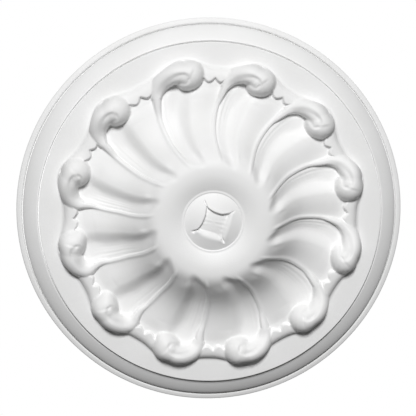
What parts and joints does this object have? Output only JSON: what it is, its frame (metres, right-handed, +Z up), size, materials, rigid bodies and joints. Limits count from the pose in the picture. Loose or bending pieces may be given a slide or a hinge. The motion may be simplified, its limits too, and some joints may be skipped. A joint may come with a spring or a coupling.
{
  "type": "ceiling rose",
  "caption": "Round cast plaster ceiling rose: domed hub with a bud, swirled gadroons ending in scrolls, plain field and moulded rim, flat back.",
  "frame": {"origin": "centre of the flat back, on the plane that meets the ceiling", "axes": "+Z up, out of the flat back into the ceiling; the carved face hangs below the origin, towards -Z"},
  "size_m": [0.3, 0.3, 0.0525],
  "materials": {
    "plaster": "matte"
  },
  "bodies": {
    "root": {"ceiling_rose": "plaster"}
  },
  "joints": []
}
